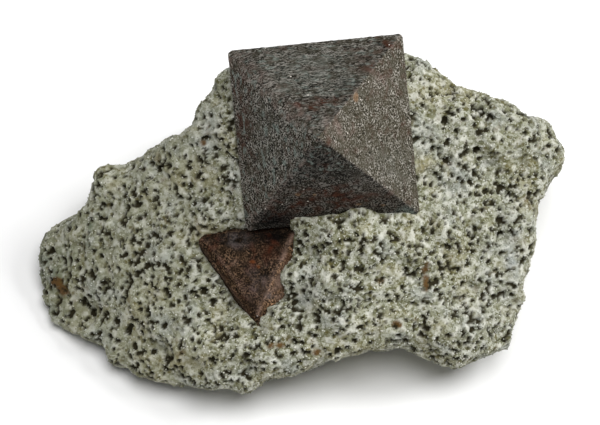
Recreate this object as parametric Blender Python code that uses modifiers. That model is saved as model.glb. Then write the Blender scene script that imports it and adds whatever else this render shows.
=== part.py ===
"""Two magnetite octahedra in a loose piece of porous volcanic rock.

The rock lies on its own flat broken underside, and its crystal-bearing face leans back from
level. Everything is first modelled in the frame of that face, in millimetres: u runs to the
right, v up the face and w straight out of it, from the middle of the large crystal. The
pieces are then leaned back, cut flat where the rock rests, and set on the origin, which is
the middle of the object's box at its base.
"""

import math

import bmesh
import bpy
from mathutils import Matrix, Vector, noise

MM = 0.001

# The two crystals, as the lengths of their edges, in millimetres. The large one grew a little
# longer up the face than across it.
LARGE_EDGE = 20.6
LARGE_STRETCH = 1.033
SMALL_EDGE = 14.0

# The large crystal points almost straight out of the face, turned a little anticlockwise.
LARGE_AXIS = (-0.75, -1.1, 14.8)
LARGE_TURN = math.radians(5.6)
LARGE_BLUNT = 0.45
LARGE_ROUNDING = 0.3

# The small crystal shows one whole triangular face, given by its middle, its tilt to the
# left and the direction in which its left tip lies. The three edges of that face are cut off
# by narrower faces, each this far in from the edge that it replaces.
SMALL_FACE_MIDDLE = (-7.81, -15.86, -1.2)
SMALL_TILT = math.radians(-8)
SMALL_TIP_TURN = math.radians(155.8)
SMALL_ROUNDING = 0.22
TRUNCATIONS = (
    ((0, 1, 1), 1.0),      # on the right
    ((1, 0, 1), 0.62),     # at the top
    ((1, 1, 0), 0.35),     # at the lower left
)

# How far a crystal stands clear of its socket in the rock.
SOCKET_GAP = 0.3

# The face leans back this far from level, and rests this far below the large crystal's middle.
FACE_LEAN = math.radians(30)
REST_DEPTH = 24.5
GROUND_BLOCK = 200.0

# The rock's edge seen square on, clockwise from the left of the large crystal's top edge.
ROCK_OUTLINE = (
    (-10.9, 8.2), (-0.4, 8.9), (9.4, 10.3), (13.2, 7.9), (14.5, 6.1), (17.3, 5.0),
    (20.1, 3.9), (22.1, 3.7), (24.0, 2.3), (26.1, 2.7), (28.1, 1.3), (29.4, -1.0),
    (30.1, -2.8), (28.9, -4.9), (27.0, -6.9), (26.6, -8.9), (25.0, -12.0), (24.9, -15.6),
    (23.9, -18.0), (24.5, -19.9), (23.5, -22.5), (23.1, -26.1), (20.3, -26.9), (17.7, -27.1),
    (15.6, -28.2), (13.8, -26.9), (11.0, -25.0), (5.8, -26.4), (2.6, -27.1), (-2.8, -28.6),
    (-6.2, -28.9), (-9.6, -30.4), (-13.6, -31.0), (-19.9, -30.4), (-23.9, -29.3),
    (-26.5, -27.4), (-27.9, -25.6), (-33.7, -23.3), (-36.1, -20.6), (-35.9, -16.4),
    (-35.0, -12.9), (-32.5, -10.6), (-28.3, -8.6), (-28.3, -5.0), (-23.2, -3.5),
    (-16.4, 0.4), (-14.4, 4.4), (-13.2, 6.5),
)

# The face is crowned: it falls away to the left and right, and more sharply at top and foot.
CROWN_LEVEL = 0.4
CROWN_U = 2.0
CROSS_FALL = 0.0102
TOP_FALL = 0.035
FOOT_V = -21.0
FOOT_FALL = 0.022

# Lumps and hollows of the face: u, v, radius and height, a hollow's height being negative.
FACE_LUMPS = (
    (4.5, -11.8, 4.6, 2.7),     # the bank that laps over the large crystal's lower edge
    (1.5, -19.0, 3.6, 1.3),     # the shoulder to the right of the small crystal
    (-9.8, -17.5, 5.0, -1.9),   # the bowl that the small crystal stands in
    (-12.3, -20.6, 2.2, -0.8),
    (-3.7, -18.1, 1.3, -1.0),
    (1.9, -13.1, 0.8, -1.3),
    (0.7, -23.4, 1.3, -1.3),
    (-1.4, -20.4, 1.7, -0.9),
    (-29.2, -21.6, 1.7, -1.5),
    (-30.5, -10.5, 1.6, -1.3),
    (-16.6, -19.4, 1.4, -0.9),
    (-21.0, -15.0, 4.0, 0.8),
    (18.2, -3.2, 1.7, -1.0),
    (21.5, -12.0, 4.5, 0.9),
    (25.5, -1.5, 3.5, 1.2),
    (17.5, -24.0, 3.0, 1.0),
    (-11.0, -27.0, 4.0, 0.9),
)

# Steep-walled holes of the face: u, v, radius and depth.
FACE_HOLES = (
    (-7.4, -12.0, 1.5, 5.0),    # under the large crystal's lower left corner
    (-6.1, -12.3, 1.3, 5.0),
)

# The slab's back dips below the plane that the rock rests on in its middle, and rises towards
# its rim, so the rock rests on its middle alone. FLAT_SHARE is where that rise begins.
BACK_U, BACK_V = -2.0, -9.0
BACK_HALF_WIDTH, BACK_HALF_HEIGHT = 27.0, 20.0
BACK_BELOW, BACK_RISE, FLAT_SHARE = 1.6, 4.5, 0.3
LEAST_THICKNESS = 4.0

# The breaks that shape the sides and the underside, in the resting frame: a point on each,
# from below the middle of the large crystal, and the way it faces.
BREAKS = (
    ((24.5, 0, 0), (0.80, -0.05, -0.60)),
    ((24.5, 14, 8), (0.55, 0.82, 0.10)),
    ((-32.0, 0, 0), (-0.62, 0.10, -0.78)),
    ((-24.5, 7, 5), (-0.62, 0.72, 0.30)),
    ((-6.0, 17.0, 7), (-0.22, 0.93, 0.30)),
    ((10.0, 17.5, 8), (0.30, 0.90, 0.32)),
    ((0.0, 19.0, 0), (0.05, 0.80, -0.60)),
    ((-17.0, -23.0, 0), (-0.25, -0.60, -0.76)),
    ((15.0, -18.0, 0), (0.30, -0.55, -0.78)),
)

# The blank that the rock is made from, and how often its breaks are smoothed.
BLANK_HALF_DEPTH = 15.0
BLANK_VOXEL = 1.0
BREAK_ROUNDING = 2

# Roughness of the broken rock: the size of the lumps and how far they stand out. A ledge is a
# flat-topped cell of the rock, LEDGE_STEEPNESS being how soon it is level from its rim, and
# LEDGE_MIDDLE the share of its height that counts as sunk.
BROAD_LUMP, BROAD_HEIGHT = 11.0, 1.1
LEDGE_SIZE, LEDGE_HEIGHT, LEDGE_STEEPNESS, LEDGE_MIDDLE = 5.5, 0.7, 2.2, 0.6
FINE_LUMP, FINE_HEIGHT = 2.6, 0.6
FINE_FALL, FINE_STEP, FINE_OCTAVES = 0.8, 2.1, 2
PIT_SPACING, PIT_RADIUS, PIT_DEPTH = 4.2, 1.25, 1.5
ROCK_TRIANGLES = 8200
WELD = 0.001

STONE = {"colour": (0.33, 0.33, 0.26, 1), "roughness": 0.95, "metallic": 0.0}
MAGNETITE = {"colour": (0.06, 0.052, 0.046, 1), "roughness": 0.45, "metallic": 0.6}


def clear_scene():
    """Removes every object that the scene starts with."""
    for obj in list(bpy.data.objects):
        bpy.data.objects.remove(obj)


def add_collection(name):
    """Returns a new collection in the scene."""
    collection = bpy.data.collections.new(name)
    bpy.context.scene.collection.children.link(collection)
    return collection


def add_material(name, colour, roughness, metallic):
    """Returns a plain Principled material."""
    material = bpy.data.materials.new(name)
    material.use_nodes = True
    shader = material.node_tree.nodes["Principled BSDF"]
    shader.inputs["Base Color"].default_value = colour
    shader.inputs["Roughness"].default_value = roughness
    shader.inputs["Metallic"].default_value = metallic
    return material


def add_object(name, mesh, collection, material=None):
    """Returns a new object that shows the mesh."""
    obj = bpy.data.objects.new(name, mesh)
    collection.objects.link(obj)
    if material is not None:
        mesh.materials.append(material)
    return obj


def apply_modifiers(obj):
    """Puts the object's evaluated mesh in place of its mesh and modifiers."""
    graph = bpy.context.evaluated_depsgraph_get()
    mesh = bpy.data.meshes.new_from_object(obj.evaluated_get(graph))
    obj.modifiers.clear()
    obj.data = mesh


def octahedron(edge, grown=0.0):
    """Returns the mesh of an octahedron about the origin, its faces moved out by grown.

    Its corners lie on the axes. Lengths are in millimetres.
    """
    corner = edge / math.sqrt(2) + grown * math.sqrt(3)
    mesh = bpy.data.meshes.new("octahedron")
    bm = bmesh.new()
    bmesh.ops.create_uvsphere(bm, u_segments=4, v_segments=2, radius=corner * MM)
    bm.to_mesh(mesh)
    bm.free()
    return mesh


def rest_place():
    """Returns the matrix from the frame of the face to the frame that the rock rests in."""
    return Matrix.Translation((0, 0, REST_DEPTH * MM)) @ Matrix.Rotation(FACE_LEAN, 4, "X")


def large_place():
    """Returns the matrix that sets the large crystal in the frame of the face."""
    lean = Vector((0, 0, 1)).rotation_difference(Vector(LARGE_AXIS)).to_matrix().to_4x4()
    stretch = Matrix.Diagonal((1, LARGE_STRETCH, 1, 1))
    edges_level = Matrix.Rotation(math.radians(45), 4, "Z")
    return lean @ Matrix.Rotation(LARGE_TURN, 4, "Z") @ stretch @ edges_level


def small_place():
    """Returns the matrix that sets the small crystal in the frame of the face."""
    face_out = Vector((1, 1, 1)).normalized()
    square_on = face_out.rotation_difference(Vector((0, 0, 1))).to_matrix().to_4x4()
    tip = square_on @ Vector((1, 0, 0))
    turn = Matrix.Rotation(SMALL_TIP_TURN - math.atan2(tip.y, tip.x), 4, "Z")
    tilt = Matrix.Rotation(SMALL_TILT, 4, "Y")
    face_to_middle = SMALL_EDGE / math.sqrt(6)
    middle = Vector(SMALL_FACE_MIDDLE) - tilt @ Vector((0, 0, face_to_middle))
    return Matrix.Translation(middle * MM) @ tilt @ turn @ square_on


def blunt_corners(mesh, edge, amount):
    """Cuts a little off each corner of an octahedron whose corners lie on the axes."""
    bm = bmesh.new()
    bm.from_mesh(mesh)
    cut_at = (edge / math.sqrt(2) - amount) * MM
    for axis in range(3):
        for side in (-1, 1):
            outward = Vector((0, 0, 0))
            outward[axis] = side
            cut_and_close(bm, outward * cut_at, outward)
    bm.to_mesh(mesh)
    bm.free()


def cut_and_close(bm, point, outward):
    """Cuts away what lies beyond the plane and closes the cut with a flat face."""
    parts = bm.verts[:] + bm.edges[:] + bm.faces[:]
    cut = bmesh.ops.bisect_plane(
        bm, geom=parts, dist=WELD * MM / 10, plane_co=point, plane_no=outward, clear_outer=True
    )
    rim = [part for part in cut["geom_cut"] if isinstance(part, bmesh.types.BMEdge)]
    bmesh.ops.holes_fill(bm, edges=[edge for edge in rim if edge.is_boundary])


def truncated_octahedron(edge, grown=0.0):
    """Returns the mesh of the small crystal, with its three front edges cut off."""
    mesh = octahedron(edge, grown)
    bm = bmesh.new()
    bm.from_mesh(mesh)
    for outward, inset in TRUNCATIONS:
        outward = Vector(outward).normalized()
        cut_and_close(bm, outward * (edge / 2 - inset + grown) * MM, outward)
    bm.to_mesh(mesh)
    bm.free()
    return mesh


def add_crystal(name, mesh, rounding, place, collection, material):
    """Returns a crystal with slightly worn edges, in its place in the resting frame."""
    obj = add_object(name, mesh, collection, material)
    bevel = obj.modifiers.new("worn edges", "BEVEL")
    bevel.width = rounding * MM
    bevel.segments = 2
    bevel.limit_method = "ANGLE"
    apply_modifiers(obj)
    obj.data.transform(rest_place() @ place)
    return obj


def add_cutter(name, mesh, place, collection):
    """Returns a cutter, in its place in the resting frame."""
    mesh.transform(place)
    cutter = add_object(name, mesh, collection)
    cutter.hide_render = True
    cutter.display_type = "WIRE"
    return cutter


def ground_block():
    """Returns the mesh of a block whose top is the plane that the rock rests on."""
    mesh = bpy.data.meshes.new("ground block")
    bm = bmesh.new()
    bmesh.ops.create_cube(bm, size=GROUND_BLOCK * MM)
    bmesh.ops.translate(bm, verts=bm.verts, vec=(0, 0, -GROUND_BLOCK * MM / 2))
    bm.to_mesh(mesh)
    bm.free()
    return mesh


def face_level(u, v):
    """Returns how far the rock's face stands out at a point, in millimetres."""
    level = CROWN_LEVEL - CROSS_FALL * (u - CROWN_U) ** 2
    level -= TOP_FALL * max(0.0, v) ** 2
    level -= FOOT_FALL * max(0.0, FOOT_V - v) ** 2
    for lump_u, lump_v, radius, height in FACE_LUMPS:
        away = ((u - lump_u) ** 2 + (v - lump_v) ** 2) / radius**2
        level += height * math.exp(-away)
    for hole_u, hole_v, radius, depth in FACE_HOLES:
        away = ((u - hole_u) ** 2 + (v - hole_v) ** 2) / radius**2
        level -= depth * math.exp(-(away**2))
    return level


def back_level(u, v):
    """Returns where the slab's back lies: below the plane that the rock rests on in its middle."""
    rest = (-REST_DEPTH - v * math.sin(FACE_LEAN)) / math.cos(FACE_LEAN)
    outwards = ((u - BACK_U) / BACK_HALF_WIDTH) ** 2 + ((v - BACK_V) / BACK_HALF_HEIGHT) ** 2
    level = rest - BACK_BELOW + BACK_RISE * max(0.0, outwards - FLAT_SHARE)
    return min(level, face_level(u, v) - LEAST_THICKNESS)


def remesh(obj, voxel):
    """Gives the object an even mesh of small faces."""
    modifier = obj.modifiers.new("even mesh", "REMESH")
    modifier.mode = "VOXEL"
    modifier.voxel_size = voxel * MM
    apply_modifiers(obj)


def add_blank(collection):
    """Returns the flat slab of the rock's outline that the rock is made from."""
    curve = bpy.data.curves.new("rock outline", "CURVE")
    curve.dimensions = "2D"
    curve.fill_mode = "BOTH"
    curve.extrude = BLANK_HALF_DEPTH * MM
    spline = curve.splines.new("POLY")
    spline.points.add(len(ROCK_OUTLINE) - 1)
    for point, (u, v) in zip(spline.points, ROCK_OUTLINE):
        point.co = (u * MM, v * MM, 0, 1)
    spline.use_cyclic_u = True
    guide = bpy.data.objects.new("rock outline", curve)
    collection.objects.link(guide)
    graph = bpy.context.evaluated_depsgraph_get()
    mesh = bpy.data.meshes.new_from_object(guide.evaluated_get(graph))
    bpy.data.objects.remove(guide)
    bm = bmesh.new()
    bm.from_mesh(mesh)
    bmesh.ops.remove_doubles(bm, verts=bm.verts, dist=WELD * MM)
    bm.to_mesh(mesh)
    bm.free()
    blank = add_object("matrix", mesh, collection)
    remesh(blank, BLANK_VOXEL)
    return blank


def shape_face(bm):
    """Gives the slab its crowned face and, behind that, its back."""
    half = max(vert.co.z for vert in bm.verts)
    for vert in bm.verts:
        forward = (vert.co.z / half + 1) / 2
        u, v = vert.co.x / MM, vert.co.y / MM
        back = back_level(u, v)
        vert.co.z = (back + (face_level(u, v) - back) * forward) * MM


def break_sides(bm):
    """Breaks the sides and the underside off along flat planes, in the resting frame."""
    for point, outward in BREAKS:
        cut_and_close(bm, Vector(point) * MM, Vector(outward).normalized())


def roughness(point):
    """Returns how far the broken rock stands out at a point, in millimetres."""
    position = point / MM
    broad = noise.noise(position / BROAD_LUMP)
    near, next_near = noise.voronoi(position / LEDGE_SIZE)[0][:2]
    ledge = min(1.0, LEDGE_STEEPNESS * (next_near - near)) - LEDGE_MIDDLE
    fine = noise.fractal(position / FINE_LUMP, FINE_FALL, FINE_STEP, FINE_OCTAVES)
    to_pit = noise.voronoi(position / PIT_SPACING)[0][0] * PIT_SPACING / PIT_RADIUS
    pit = max(0.0, 1 - to_pit**2)
    return BROAD_HEIGHT * broad + LEDGE_HEIGHT * ledge + FINE_HEIGHT * fine - PIT_DEPTH * pit


def roughen(bm, smoothing):
    """Rounds the mesh a little, then moves it in and out as broken rock is."""
    for _ in range(smoothing):
        bmesh.ops.smooth_vert(
            bm, verts=bm.verts, factor=0.5, use_axis_x=True, use_axis_y=True, use_axis_z=True
        )
    bm.normal_update()
    moves = [(vert, vert.normal * roughness(vert.co) * MM) for vert in bm.verts]
    for vert, move in moves:
        vert.co += move


def edit(obj, *steps):
    """Runs each step on the object's mesh."""
    bm = bmesh.new()
    bm.from_mesh(obj.data)
    for step in steps:
        step(bm)
    bm.to_mesh(obj.data)
    bm.free()


def thin_out(obj, triangles):
    """Reduces the object to about that many triangles."""
    obj.data.calc_loop_triangles()
    modifier = obj.modifiers.new("fewer faces", "DECIMATE")
    modifier.ratio = triangles / len(obj.data.loop_triangles)
    apply_modifiers(obj)


def add_rock(collection, cutters, material):
    """Returns the rock, leaned back, broken, roughened and then cut by each cutter."""
    rock = add_blank(collection)
    edit(rock, shape_face)
    rock.data.transform(rest_place())
    edit(rock, break_sides)
    remesh(rock, BLANK_VOXEL)
    edit(rock, lambda bm: roughen(bm, BREAK_ROUNDING))
    thin_out(rock, ROCK_TRIANGLES)
    for cutter in cutters:
        modifier = rock.modifiers.new(cutter.name, "BOOLEAN")
        modifier.operation = "DIFFERENCE"
        modifier.solver = "MANIFOLD"
        modifier.object = cutter
    apply_modifiers(rock)
    rock.data.materials.clear()
    rock.data.materials.append(material)
    return rock


def stand_on_origin(objects):
    """Moves the objects so that the origin is the middle of their box, at its base."""
    corners = [vert.co for obj in objects for vert in obj.data.vertices]
    low = Vector([min(corner[axis] for corner in corners) for axis in range(3)])
    high = Vector([max(corner[axis] for corner in corners) for axis in range(3)])
    middle = (low + high) / 2
    for obj in objects:
        obj.data.transform(Matrix.Translation((-middle.x, -middle.y, -low.z)))


def main():
    """Builds the rock and its two crystals."""
    clear_scene()
    pieces = add_collection("magnetite_specimen")
    helpers = add_collection("cutters")
    stone = add_material("volcanic rock", **STONE)
    magnetite = add_material("magnetite", **MAGNETITE)
    large_form = octahedron(LARGE_EDGE)
    blunt_corners(large_form, LARGE_EDGE, LARGE_BLUNT)
    large = add_crystal(
        "large_crystal", large_form, LARGE_ROUNDING, large_place(), pieces, magnetite
    )
    small = add_crystal(
        "small_crystal", truncated_octahedron(SMALL_EDGE), SMALL_ROUNDING, small_place(), pieces,
        magnetite,
    )
    large_socket = octahedron(LARGE_EDGE, SOCKET_GAP)
    small_socket = truncated_octahedron(SMALL_EDGE, SOCKET_GAP)
    cutters = [
        add_cutter("ground", ground_block(), Matrix.Identity(4), helpers),
        add_cutter("large socket", large_socket, rest_place() @ large_place(), helpers),
        add_cutter("small socket", small_socket, rest_place() @ small_place(), helpers),
    ]
    rock = add_rock(pieces, cutters, stone)
    stand_on_origin([rock, large, small])


main()
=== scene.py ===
"""Looks of a magnetite specimen: two octahedra in a loose piece of porous volcanic rock.

Lengths are in millimetres until a mesh is placed. Most places are given in the frame of the
rock's face: u to the right, v up the face and w straight out of it, from the middle of the
large crystal. The face leans back from level, and the camera looks square onto it.
"""

import logging
import math
from dataclasses import dataclass, field
from enum import Enum, IntEnum
from typing import Sequence

import bmesh
import bpy
import numpy as np
from mathutils import Matrix, Vector, kdtree, noise


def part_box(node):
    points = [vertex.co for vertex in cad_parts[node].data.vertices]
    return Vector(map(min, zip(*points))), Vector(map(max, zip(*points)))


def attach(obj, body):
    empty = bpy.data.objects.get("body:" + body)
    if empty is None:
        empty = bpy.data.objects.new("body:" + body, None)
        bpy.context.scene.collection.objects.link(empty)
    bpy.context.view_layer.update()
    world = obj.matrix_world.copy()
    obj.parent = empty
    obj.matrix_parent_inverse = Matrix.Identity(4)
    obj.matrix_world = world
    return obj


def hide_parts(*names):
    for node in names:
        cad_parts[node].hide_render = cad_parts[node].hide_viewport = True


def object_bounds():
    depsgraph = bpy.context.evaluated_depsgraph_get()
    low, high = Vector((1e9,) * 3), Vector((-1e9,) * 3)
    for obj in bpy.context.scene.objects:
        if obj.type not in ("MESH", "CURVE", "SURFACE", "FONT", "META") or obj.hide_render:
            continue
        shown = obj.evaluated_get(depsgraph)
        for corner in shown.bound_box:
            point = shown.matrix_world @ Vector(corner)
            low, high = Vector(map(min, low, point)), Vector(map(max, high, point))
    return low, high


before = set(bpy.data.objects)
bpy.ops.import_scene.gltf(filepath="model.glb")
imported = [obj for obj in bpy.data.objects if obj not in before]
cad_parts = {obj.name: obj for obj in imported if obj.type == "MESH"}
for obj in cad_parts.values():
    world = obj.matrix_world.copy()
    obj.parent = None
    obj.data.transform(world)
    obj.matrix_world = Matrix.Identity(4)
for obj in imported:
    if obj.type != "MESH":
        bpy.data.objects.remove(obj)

MM = 0.001
CAD_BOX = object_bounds()
BODY = "root"
LOG = logging.getLogger("magnetite_specimen")

# How far the rock's face leans back from level.
FACE_LEAN = math.radians(30)
# Places nearer than this to the plane between two of a crystal's faces lie on their edge.
ON_EDGE = 1e-4


def face_frame() -> Matrix:
    """Sets the frame of the rock's face round the middle of the large crystal.

    Returns:
        The matrix from that frame, in metres, to the world.
    """
    low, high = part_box("large_crystal")
    middle = (Vector(low) + Vector(high)) / 2
    return Matrix.Translation(middle) @ Matrix.Rotation(FACE_LEAN, 4, "X")


FACE = face_frame()


def linear(colour: str) -> tuple[float, float, float, float]:
    """Turns an sRGB hex colour to linear light.

    Args:
        colour: the colour, as "#rrggbb".

    Returns:
        Red, green and blue in linear light, and an alpha of 1.
    """
    channels = [int(colour[place:place + 2], 16) / 255 for place in (1, 3, 5)]
    light = [c / 12.92 if c <= 0.04045 else ((c + 0.055) / 1.055) ** 2.4 for c in channels]
    return light[0], light[1], light[2], 1.0


def per_metre(size: float) -> float:
    """Returns the scale of a texture whose features are the given size in millimetres."""
    return 1 / (size * MM)


def add_node(
    tree: bpy.types.NodeTree,
    kind: str,
    inputs: dict | None = None,
    stops: Sequence[tuple[float, str]] = (),
    **settings: object,
) -> bpy.types.Node:
    """Adds a node with its settings and links.

    Args:
        tree: the node tree.
        kind: the node's type.
        inputs: a value or an output socket for each input, by its name or number.
        stops: a colour ramp's places and hex colours.
        settings: the node's own properties.

    Returns:
        The node.
    """
    node = tree.nodes.new(kind)
    for name, value in settings.items():
        setattr(node, name, value)
    for key, value in (inputs or {}).items():
        if isinstance(value, bpy.types.NodeSocket):
            tree.links.new(value, node.inputs[key])
        else:
            node.inputs[key].default_value = value
    for number, (place, colour) in enumerate(stops):
        elements = node.color_ramp.elements
        stop = elements[number] if number < len(elements) else elements.new(place)
        stop.position = place
        stop.color = linear(colour)
    return node


def lay_tints(
    tree: bpy.types.NodeTree,
    colour: bpy.types.NodeSocket,
    tints: Sequence[tuple[str, str]],
    speckle: bpy.types.NodeSocket | None = None,
) -> bpy.types.NodeSocket:
    """Lays tints over a colour, each where the mesh's attribute of that name says.

    Args:
        tree: the material's node tree.
        colour: the colour beneath.
        tints: the attribute and the hex colour of each tint, the lowest first.
        speckle: what the amount of every tint is multiplied by, if anything.

    Returns:
        The tinted colour.
    """
    for attribute, tint in tints:
        amount = add_node(tree, "ShaderNodeAttribute", attribute_name=attribute).outputs["Fac"]
        if speckle:
            amount = add_node(
                tree, "ShaderNodeMath", {0: amount, 1: speckle}, operation="MULTIPLY", use_clamp=True
            ).outputs[0]
        colour = add_node(
            tree, "ShaderNodeMix", {0: amount, 6: colour, 7: linear(tint)}, data_type="RGBA"
        ).outputs[2]
    return colour


def new_material(name: str) -> tuple[bpy.types.Material, bpy.types.NodeTree, bpy.types.Node]:
    """Adds a material.

    Args:
        name: its name.

    Returns:
        The material, its node tree and its Principled shader.
    """
    material = bpy.data.materials.new(name)
    material.use_nodes = True
    tree = material.node_tree
    return material, tree, tree.nodes["Principled BSDF"]


def add_piece(name: str, mesh: bpy.types.Mesh, material: bpy.types.Material) -> bpy.types.Object:
    """Adds a finished piece that rides on the specimen's one body.

    Args:
        name: the piece's name.
        mesh: its mesh, already in its place.
        material: its material.

    Returns:
        The object.
    """
    obj = bpy.data.objects.new(name, mesh)
    bpy.context.scene.collection.objects.link(obj)
    mesh.materials.clear()
    mesh.materials.append(material)
    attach(obj, BODY)
    return obj


def apply_modifiers(obj: bpy.types.Object) -> bpy.types.Mesh:
    """Applies an object's modifiers and removes the object.

    Args:
        obj: the object.

    Returns:
        Its evaluated mesh.
    """
    graph = bpy.context.evaluated_depsgraph_get()
    mesh = bpy.data.meshes.new_from_object(obj.evaluated_get(graph))
    bpy.data.objects.remove(obj)
    return mesh


def smoothstep(low: float, high: float, value: np.ndarray) -> np.ndarray:
    """Returns 0 below low and 1 above high, with a smooth rise between them."""
    share = np.clip((value - low) / (high - low), 0, 1)
    return share * share * (3 - 2 * share)


def bell(width: float, value: np.ndarray) -> np.ndarray:
    """Returns 1 where the value is 0, falling smoothly to each side over about the width."""
    return np.exp(-((value / width) ** 2))


def sample_noise(points: np.ndarray, size: float, octaves: int = 1, shift: float = 0.0) -> np.ndarray:
    """Evaluates smooth noise at each point.

    Args:
        points: points in millimetres, one a row.
        size: the size of the noise's features.
        octaves: how many finer layers are summed.
        shift: an offset that gives another pattern.

    Returns:
        Values of about -1 to 1.
    """
    places = points / size + shift
    if octaves == 1:
        return np.array([noise.noise(Vector(place)) for place in places])
    return np.array([noise.fractal(Vector(place), 0.9, 2.1, octaves) for place in places])


def set_attribute(mesh: bpy.types.Mesh, name: str, values: np.ndarray) -> None:
    """Stores one number for each vertex."""
    layer = mesh.attributes.new(name, "FLOAT", "POINT")
    layer.data.foreach_set("value", values.astype(np.float32))


def triangles(mesh: bpy.types.Mesh) -> int:
    """Returns how many triangles the mesh's faces come to."""
    return len(mesh.loops) - 2 * len(mesh.polygons)


def read_vectors(items: bpy.types.bpy_prop_collection, key: str) -> np.ndarray:
    """Reads a vector of each item of a mesh.

    Args:
        items: the mesh's vertices, vertex normals or polygons.
        key: the vector's name, such as co.

    Returns:
        The vectors, one a row.
    """
    flat = np.zeros(len(items) * 3, np.float32)
    items.foreach_get(key, flat)
    return flat.reshape(-1, 3).astype(float)


def move_vertices(mesh: bpy.types.Mesh, places: np.ndarray) -> None:
    """Puts the mesh's vertices at the given places."""
    mesh.vertices.foreach_set("co", places.astype(np.float32).ravel())
    mesh.update()


def apply_matrix(matrix: Matrix, points: np.ndarray) -> np.ndarray:
    """Returns the points, one a row, moved by the matrix."""
    values = np.array(matrix)
    return points @ values[:3, :3].T + values[:3, 3]


def to_face(points: np.ndarray) -> np.ndarray:
    """Turns world places in metres to the frame of the rock's face, in millimetres."""
    return apply_matrix(FACE.inverted(), points) / MM


def to_world(places: np.ndarray) -> np.ndarray:
    """Turns places in the frame of the rock's face, in millimetres, to the world in metres."""
    return apply_matrix(FACE, places * MM)


def within_solids(places: np.ndarray) -> np.ndarray:
    """Returns the world places, drawn in to the box of the solids."""
    low, high = CAD_BOX
    return np.clip(places, np.array(low), np.array(high))


@dataclass(frozen=True)
class Patch:
    """A place with soft edges, in the frame of the rock's face: its middle, reach and strength."""

    u: float
    v: float
    reach_u: float
    reach_v: float
    strength: float = 1.0

    def weight(self, places: np.ndarray) -> np.ndarray:
        """Returns how strong the patch is at each place in the frame of the face."""
        away = (places[:, :2] - (self.u, self.v)) / (self.reach_u, self.reach_v)
        return self.strength * np.exp(-(away**2).sum(axis=1))


def patch_weights(patches: Sequence[Patch], places: np.ndarray) -> np.ndarray:
    """Returns the strength of the strongest patch at each place, or 0."""
    return np.max([np.zeros(len(places)), *(patch.weight(places) for patch in patches)], axis=0)


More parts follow.
